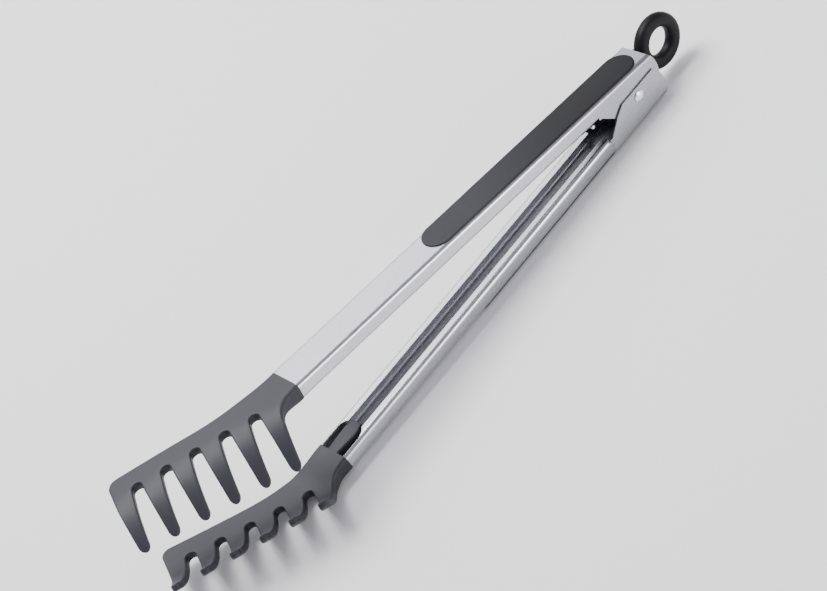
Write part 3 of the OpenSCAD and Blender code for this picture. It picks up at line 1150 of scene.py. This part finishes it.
@dataclass(frozen=True)
class Pivot:
    """The domed rivet, its washer, the bush inside the coil and the two inner washers."""

    hinge: Hinge
    shank_r: float = 2.0
    head_r: float = 2.9
    head_h: float = 1.3
    tail_h: float = 1.0
    rim_h: float = 0.3
    undercut: float = 0.45
    washer_r: float = 3.6
    tail_washer: float = 0.6
    inner_washer: float = 0.5
    bush_r: float = 3.0
    sheet: float = 0.8
    gap: float = 0.1
    washer_edge: float = 0.14
    bush_edge: float = 0.2
    inner_edge: float = 0.1

    def build(self, shop: Workshop) -> list[Object]:
        """Makes the pivot's four pieces, turned about the rivet's axis.

        Args:
            shop: Makes the pieces.

        Returns:
            The pieces.
        """
        side, ear = Side.LOWER, self.hinge.ear_half_w
        tail = ear + self.tail_washer
        head = dome_profile(self.head_r, self.head_h - self.rim_h, -ear - self.rim_h, -1.0)
        end = dome_profile(self.head_r, self.tail_h - self.rim_h, tail + self.rim_h, 1.0)
        neck = self.head_r - self.undercut
        shank = np.array([[neck, -ear], [self.shank_r, -ear], [self.shank_r, tail], [neck, tail]])
        rivet = Shell().add_lathe(np.concatenate([head, shank, end[::-1]]), closed=False)
        washer = Shell().add_lathe(ring_profile(self.shank_r, self.washer_r, ear, tail, self.washer_edge))
        inside = self.hinge.arm_w / 2 - self.sheet - self.gap
        reach = inside - self.inner_washer - self.gap / 2
        bush = Shell().add_lathe(ring_profile(self.shank_r, self.bush_r, -reach, reach, self.bush_edge))
        washers = Shell()
        for low in (-inside, inside - self.inner_washer):
            washers.add_lathe(ring_profile(self.shank_r, self.washer_r, low, low + self.inner_washer,
                                           self.inner_edge))
        made = [
            shop.piece("rivet_domed", rivet, side, Slot.PIN, ["pivot_rivet"]),
            shop.piece("rivet_tail_washer", washer, side, Slot.PIN, ["rivet_washer"]),
            shop.piece("coil_bush", bush, side, Slot.BUSH, ["pivot_bush"]),
            shop.piece("ear_spacers", washers, side, Slot.BUSH, ["ear_washers"]),
        ]
        return [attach(piece, side.body) for piece in made]


@dataclass(frozen=True)
class TorsionSpring:
    """A round wire coil on the bush, with a straight leg against the inside of each arm."""

    hinge: Hinge
    wire: float = 1.3
    coil_r: float = 4.2
    turns: float = 5.5
    gap: float = 0.25
    sheet: float = 0.8
    leg_gap: float = 0.15
    leg_len: float = 14.0
    leg_bend: Pair = (6.5, 6.4)
    leg_steps: int = 27
    turn_steps: int = 40
    wire_steps: int = 16

    @property
    def step(self) -> float:
        """Distance between one turn and the next."""
        return self.wire + self.gap

    def leg(self, y: float) -> Array:
        """Middle line of the lower leg, from its tip to the coil.

        A cubic curve through four control points: straight in along the arm, then up to the
        coil's lowest point and level with it.

        Args:
            y: The leg's place along the rivet.

        Returns:
            Points, (n, 3).
        """
        foot = -self.hinge.back_h + self.sheet + self.wire / 2 + self.leg_gap
        control = np.array([[-self.leg_len, y, foot], [-self.leg_bend[0], y, foot],
                            [-self.leg_bend[1], y, -self.coil_r], [0.0, y, -self.coil_r]])
        t = np.linspace(0.0, 1.0, self.leg_steps + 1)[:, None]
        weights = np.concatenate([(1 - t) ** 3, 3 * t * (1 - t) ** 2, 3 * t ** 2 * (1 - t), t ** 3], 1)
        return weights @ control

    def path(self) -> Array:
        """The wire's middle line: lower leg, helix about the rivet, and upper leg.

        Returns:
            Points, (n, 3).
        """
        half = int(self.turns) * self.step / 2
        turn = np.linspace(0.0, self.turns, int(self.turns * self.turn_steps) + 1)
        angle = 2 * math.pi * turn - math.pi / 2
        x, z = self.coil_r * np.cos(angle), self.coil_r * np.sin(angle)
        coil = np.stack([x, -half + turn * self.step, z], -1)
        upper = self.leg(coil[-1, 1])[::-1] * np.array([1.0, 1.0, -1.0])
        return joined(self.leg(-half), coil, upper)

    def build(self, shop: Workshop) -> Object:
        """Makes the spring: a circle carried along the wire's middle line, square to it.

        At each point the circle lies on two directions square to the line, one of them also
        square to the rivet's axis.

        Args:
            shop: Makes the piece.

        Returns:
            The spring.
        """
        path = self.path()
        way = np.gradient(path, axis=0)
        way /= np.linalg.norm(way, axis=1)[:, None]
        side = np.cross(way, np.array([0.0, 1.0, 0.0]))
        side /= np.linalg.norm(side, axis=1)[:, None]
        up = np.cross(side, way)
        angle = full_turn(self.wire_steps)[None, :, None]
        circle = np.cos(angle) * side[:, None] + np.sin(angle) * up[:, None]
        tube = Shell().add_tube(path[:, None] + self.wire / 2 * circle)
        spring = shop.piece("spring_wire", tube, Side.LOWER, Slot.SPRING, ["torsion_spring"])
        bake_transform(spring)
        return spring


# ---- sliding lock ----


@dataclass(frozen=True)
class LockSlide:
    """The pull ring, its bar under the upper arm's back, and the hook with its cross pin."""

    hinge: Hinge
    ring_at: Pair = (28.4, -8.3)
    ring_r: float = 14.0
    hole_r: float = 6.9
    ring_t: float = 6.9
    squareness: float = 2.3
    bar_half_w: float = 3.5
    bar_top: float = 1.1
    bar_t: float = 3.2
    runner_half_w: float = 7.7
    runner_t: float = 2.4
    hook: Pair = (-34.5, -25.0)
    hook_half_w: float = 4.2
    hook_foot: float = -0.4
    pin_at: Pair = (-27.5, -1.6)
    pin_r: float = 1.0
    pin_len: float = 13.0
    pin_round: float = 0.35
    bar_lap: float = 2.0
    bar_edge: float = 0.6
    runner_edge: float = 0.5
    hook_edge: float = 1.2
    hook_inset: float = 0.4
    hook_sunk: float = 0.5

    def ring_section(self) -> Array:
        """Section of the ring: a superellipse, so the sides are flatter than a circle's.

        Each of the two places is the half size times the cosine or sine, raised to two over the
        squareness with its sign kept.

        Returns:
            Closed profile of points (radius, place along Y).
        """
        angle = full_turn(36)
        power = 2.0 / self.squareness
        across, tall = (np.sign(w) * np.abs(w) ** power for w in (np.cos(angle), np.sin(angle)))
        middle, half = (self.ring_r + self.hole_r) / 2, (self.ring_r - self.hole_r) / 2
        return np.stack([middle + half * across, self.ring_t / 2 * tall], -1)

    def build(self, shop: Workshop) -> list[Object]:
        """Makes the slide and its pin. The drawing position has the arm's back downwards.

        Args:
            shop: Makes the pieces.

        Returns:
            The pieces.
        """
        slide = Shell().add_lathe(self.ring_section(), self.ring_at, 96)
        start, stop = self.hook
        low = self.bar_top - self.hinge.back_h
        slide.add_block([start, self.ring_at[0] - self.ring_r + self.bar_lap], self.bar_half_w, low,
                        low + self.bar_t, self.bar_edge)
        slide.add_block([start, stop], self.runner_half_w, low, low + self.runner_t, self.runner_edge)
        slide.add_block([start + self.hook_inset, stop - self.hook_inset], self.hook_half_w,
                        low + self.hook_sunk, self.hook_foot, self.hook_edge)
        angle = quarter_turn(5)
        end = np.stack([self.pin_r * np.sin(angle),
                        self.pin_len / 2 - self.pin_round * (1.0 - np.cos(angle))], -1)
        pin = Shell().add_lathe(np.concatenate([end * [1.0, -1.0], end[::-1]]), self.pin_at, 32, closed=False)
        made = [
            shop.piece("lock_pull_ring", slide, Side.UPPER, Slot.LOCK, ["lock_slide"]),
            shop.piece("lock_cross_pin", pin, Side.UPPER, Slot.PIN, ["lock_pin"]),
        ]
        return [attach(piece, "lock") for piece in made]


# ---- studio ----


@dataclass(frozen=True)
class Softbox:
    """One square area light, placed by where it stands as seen from the tongs."""

    name: str
    azimuth: float
    elevation: float
    distance: float
    size: float
    power: float
    colour: Triple = (1.0, 1.0, 1.0)

    def build(self, target: Vector) -> Object:
        """Makes the light, facing the target.

        Args:
            target: Place that it faces.

        Returns:
            The light.
        """
        away = direction(self.azimuth, self.elevation)
        data = bpy.data.lights.new(self.name, "AREA")
        data.shape = "SQUARE"
        data.size = self.size
        data.energy = self.power
        data.color = self.colour
        light = stand(self.name, data)
        light.location = target + away * self.distance
        light.rotation_mode = "QUATERNION"
        light.rotation_quaternion = (-away).to_track_quat("-Z", "Y")
        return light


def direction(azimuth: float, elevation: float) -> Vector:
    """Unit vector to a place seen from the tongs: azimuth 0 is towards -Y, in degrees."""
    a, e = math.radians(azimuth), math.radians(elevation)
    return Vector((math.sin(a) * math.cos(e), -math.cos(a) * math.cos(e), math.sin(e)))


@dataclass(frozen=True)
class Studio:
    """Pale floor, soft lights and the camera."""

    target: Triple = (-0.0855, 0.0, 0.0324)
    azimuth: float = -20.46
    elevation: float = 40.845
    roll: float = -36.165
    distance: float = 0.9717
    lens: float = 94.71
    sensor: float = 36.0
    clip: Pair = (0.05, 20.0)
    floor_size: float = 6.0
    floor_at: float = -0.0004
    floor_colour: tuple[float, ...] = (0.93, 0.93, 0.935, 1.0)
    floor_roughness: float = 0.9
    world_colour: tuple[float, ...] = (0.90, 0.90, 1.0, 1.0)
    world_strength: float = 0.5
    softboxes: tuple[Softbox, ...] = (
        Softbox("back_softbox", 160.0, 40.0, 1.8, 1.5, 17.0, (0.97, 0.97, 1.0)),
        Softbox("key_softbox", 24.0, 14.0, 1.4, 0.6, 10.0, (1.0, 0.99, 0.98)),
        Softbox("top_softbox", 188.0, 70.0, 1.5, 0.8, 33.0),
    )

    def camera(self) -> Object:
        """Makes the camera: it looks at the target from its azimuth and elevation, then rolls.

        Returns:
            The camera.
        """
        back = direction(self.azimuth, self.elevation)
        right = Vector((0.0, 0.0, 1.0)).cross(back).normalized()
        up = back.cross(right)
        c, s = math.cos(math.radians(self.roll)), math.sin(math.radians(self.roll))
        across, tall = right * c + up * s, up * c - right * s
        data = bpy.data.cameras.new("studio_camera")
        data.lens = self.lens
        data.sensor_width = self.sensor
        data.clip_start, data.clip_end = self.clip
        camera = stand("studio_camera", data)
        camera.rotation_mode = "QUATERNION"
        camera.rotation_quaternion = Matrix((across, tall, back)).transposed().to_quaternion()
        camera.location = Vector(self.target) + back * self.distance
        bpy.context.scene.camera = camera
        return camera

    def floor(self) -> Object:
        """Makes the floor, a plain pale sheet just under the lower grip.

        Returns:
            The floor.
        """
        side = np.linspace(-0.5, 0.5, 3) * self.floor_size
        x, y = np.meshgrid(side, side, indexing="ij")
        shell = Shell().add_grid(stacked(x, y, self.floor_at)[::-1])
        mesh = bpy.data.meshes.new("floor")
        mesh.from_pydata(np.concatenate(shell.points), [], shell.faces)
        material = bpy.data.materials.new("pale_floor")
        material.use_nodes = True
        plug(material.node_tree, material.node_tree.nodes["Principled BSDF"], Base_Color=self.floor_colour,
             Roughness=self.floor_roughness)
        mesh.materials.append(material)
        floor = stand("floor", mesh)
        return floor

    def build(self) -> None:
        """Makes the world's light, the softboxes, the floor and the camera."""
        world = bpy.data.worlds.new("studio")
        world.use_nodes = True
        plug(world.node_tree, world.node_tree.nodes["Background"], Color=self.world_colour,
             Strength=self.world_strength)
        bpy.context.scene.world = world
        for softbox in self.softboxes:
            softbox.build(Vector(self.target))
        self.floor()
        self.camera()


def main() -> None:
    """Builds every sub-assembly in order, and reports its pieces."""
    logging.basicConfig(level=logging.INFO, format="%(name)s: %(message)s")
    hinge = Hinge.read()
    shop = Workshop(hinge)
    Studio().build()
    for side in Side:
        ChannelArm(hinge).build(shop, side)
        Grip(hinge).build(shop, side)
        CombHead(hinge).build(shop, side)
    Pivot(hinge).build(shop)
    TorsionSpring(hinge).build(shop)
    LockSlide(hinge).build(shop)


if __name__ == "__main__":
    main()
